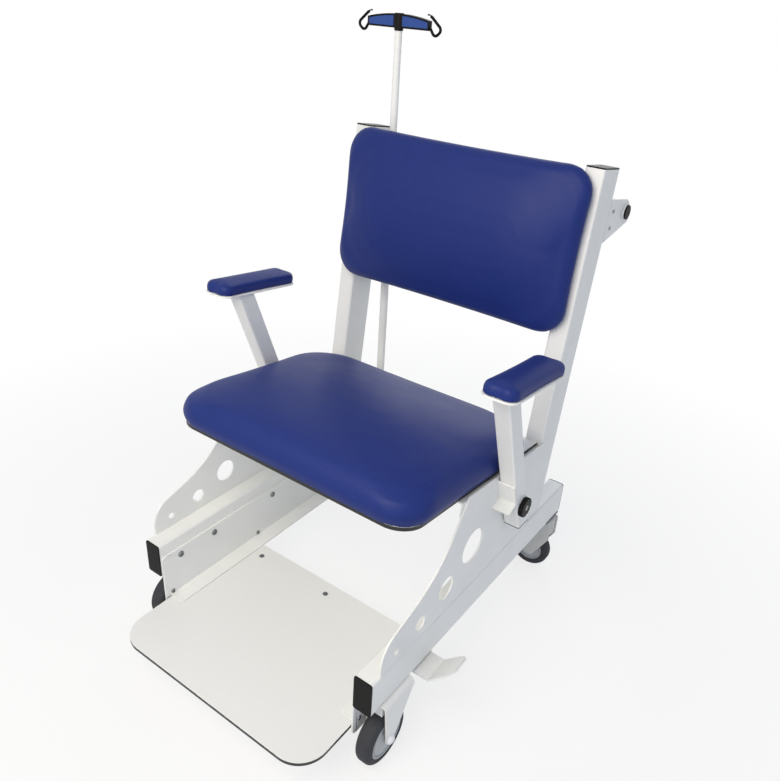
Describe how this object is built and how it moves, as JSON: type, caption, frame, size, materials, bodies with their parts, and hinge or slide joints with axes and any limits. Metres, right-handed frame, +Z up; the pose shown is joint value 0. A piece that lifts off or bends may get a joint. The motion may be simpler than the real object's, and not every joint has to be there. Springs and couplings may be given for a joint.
{
  "type": "transfer chair",
  "caption": "Wheeled clinic transfer chair with padded seat and back, swing-away arms, sliding footplate, foot brakes, rear push bar and a height-adjustable drip pole.",
  "frame": {"origin": "on the floor under the middle of the chair's overall width and depth", "axes": "+Z up, the chair's front faces -Y, +X to the right as seen from the front"},
  "size_m": [0.76, 0.9845, 1.2452],
  "materials": {
    "white_steel": "white powder coat, slightly glossy",
    "black_plastic": "black moulded plastic, matt",
    "dark_board": "black compact laminate board",
    "navy_vinyl": "navy wipe-clean vinyl, soft sheen",
    "pale_laminate": "pale grey compact laminate with a dark core at the edge",
    "black_steel": "blackened steel wire",
    "plain_steel": "bright zinc-plated steel",
    "grey_tyre": "dark grey non-marking rubber",
    "grey_plastic": "grey moulded plastic"
  },
  "bodies": {
    "frame": {"rail_left": "white_steel", "rail_right": "white_steel", "rail_end_caps": "black_plastic", "side_plate_left": "white_steel", "side_plate_right": "white_steel", "upright_left": "white_steel", "upright_right": "white_steel", "upright_caps": "black_plastic", "rear_cross_tube": "white_steel", "seat_angles": "white_steel", "seat_board": "pale_laminate", "seat_cushion": "navy_vinyl", "back_board": "dark_board", "back_cushion": "navy_vinyl", "guide_left": "white_steel", "guide_right": "white_steel", "guide_screws": "plain_steel", "front_fork_left": "white_steel", "front_fork_right": "white_steel", "front_axles": "plain_steel", "caster_mounts": "plain_steel", "brake_blocks": "white_steel", "arm_pivots": "plain_steel", "arm_stops": "white_steel", "push_bar": "white_steel", "push_bar_plugs": "black_plastic", "push_brackets": "white_steel", "push_screws": "plain_steel", "mast": "white_steel", "mast_bracket": "white_steel", "pole_collar": "black_plastic"},
    "footrest": {"footplate": "pale_laminate", "footplate_bar": "white_steel", "footplate_screws": "plain_steel"},
    "front_wheel_left": {"front_tyre_left": "grey_tyre", "front_hub_left": "grey_plastic"},
    "front_wheel_right": {"front_tyre_right": "grey_tyre", "front_hub_right": "grey_plastic"},
    "caster_left": {"caster_fork_left": "grey_plastic"},
    "caster_right": {"caster_fork_right": "grey_plastic"},
    "rear_wheel_left": {"rear_tyre_left": "grey_tyre", "rear_hub_left": "grey_plastic"},
    "rear_wheel_right": {"rear_tyre_right": "grey_tyre", "rear_hub_right": "grey_plastic"},
    "brake_left": {"brake_pedal_left": "white_steel"},
    "brake_right": {"brake_pedal_right": "white_steel"},
    "arm_left": {"arm_post_left": "white_steel", "arm_plate_left": "white_steel", "arm_pad_left": "navy_vinyl"},
    "arm_right": {"arm_post_right": "white_steel", "arm_plate_right": "white_steel", "arm_pad_right": "navy_vinyl"},
    "arm_clamp_left": {"arm_knob_left": "black_plastic"},
    "arm_clamp_right": {"arm_knob_right": "black_plastic"},
    "drip_pole": {"pole": "white_steel", "hook_head": "black_plastic", "hooks": "black_steel"},
    "pole_clamp": {"collar_knob": "black_plastic"}
  },
  "joints": [
    {"name": "footplate_slide", "type": "slide", "parent": "frame", "child": "footrest", "axis": [0, 1, 0], "range_m": [0, 0.24]},
    {"name": "front_left_spin", "type": "hinge", "parent": "frame", "child": "front_wheel_left", "pos_m": [-0.288, -0.31625, 0.06], "axis": [1, 0, 0], "continuous": true},
    {"name": "front_right_spin", "type": "hinge", "parent": "frame", "child": "front_wheel_right", "pos_m": [0.288, -0.31625, 0.06], "axis": [1, 0, 0], "continuous": true},
    {"name": "caster_left_swivel", "type": "hinge", "parent": "frame", "child": "caster_left", "pos_m": [-0.28, 0.37075, 0.13], "axis": [0, 0, 1], "continuous": true},
    {"name": "caster_right_swivel", "type": "hinge", "parent": "frame", "child": "caster_right", "pos_m": [0.28, 0.37075, 0.13], "axis": [0, 0, 1], "continuous": true},
    {"name": "rear_left_spin", "type": "hinge", "parent": "caster_left", "child": "rear_wheel_left", "pos_m": [-0.258, 0.37075, 0.05], "axis": [0, 1, 0], "continuous": true},
    {"name": "rear_right_spin", "type": "hinge", "parent": "caster_right", "child": "rear_wheel_right", "pos_m": [0.258, 0.37075, 0.05], "axis": [0, 1, 0], "continuous": true},
    {"name": "brake_left_press", "type": "hinge", "parent": "frame", "child": "brake_left", "pos_m": [-0.28, -0.2325, 0.1455], "axis": [0, -1, 0], "range_deg": [0, 14]},
    {"name": "brake_right_press", "type": "hinge", "parent": "frame", "child": "brake_right", "pos_m": [0.28, -0.2325, 0.1455], "axis": [0, 1, 0], "range_deg": [0, 14]},
    {"name": "arm_left_swing", "type": "hinge", "parent": "frame", "child": "arm_left", "pos_m": [-0.32, 0.06875, 0.3885], "axis": [-1, 0, 0], "range_deg": [0, 100]},
    {"name": "arm_right_swing", "type": "hinge", "parent": "frame", "child": "arm_right", "pos_m": [0.32, 0.06875, 0.3885], "axis": [-1, 0, 0], "range_deg": [0, 100]},
    {"name": "arm_left_knob_turn", "type": "hinge", "parent": "frame", "child": "arm_clamp_left", "pos_m": [-0.342, 0.06875, 0.3885], "axis": [-1, 0, 0], "range_deg": [0, 360]},
    {"name": "arm_right_knob_turn", "type": "hinge", "parent": "frame", "child": "arm_clamp_right", "pos_m": [0.342, 0.06875, 0.3885], "axis": [1, 0, 0], "range_deg": [0, 360]},
    {"name": "pole_slide", "type": "slide", "parent": "frame", "child": "drip_pole", "axis": [0, 0, 1], "range_m": [0, 0.2]},
    {"name": "collar_knob_turn", "type": "hinge", "parent": "frame", "child": "pole_clamp", "pos_m": [-0.206, 0.35575, 0.7183], "axis": [0, 1, 0], "range_deg": [0, 360]}
  ]
}
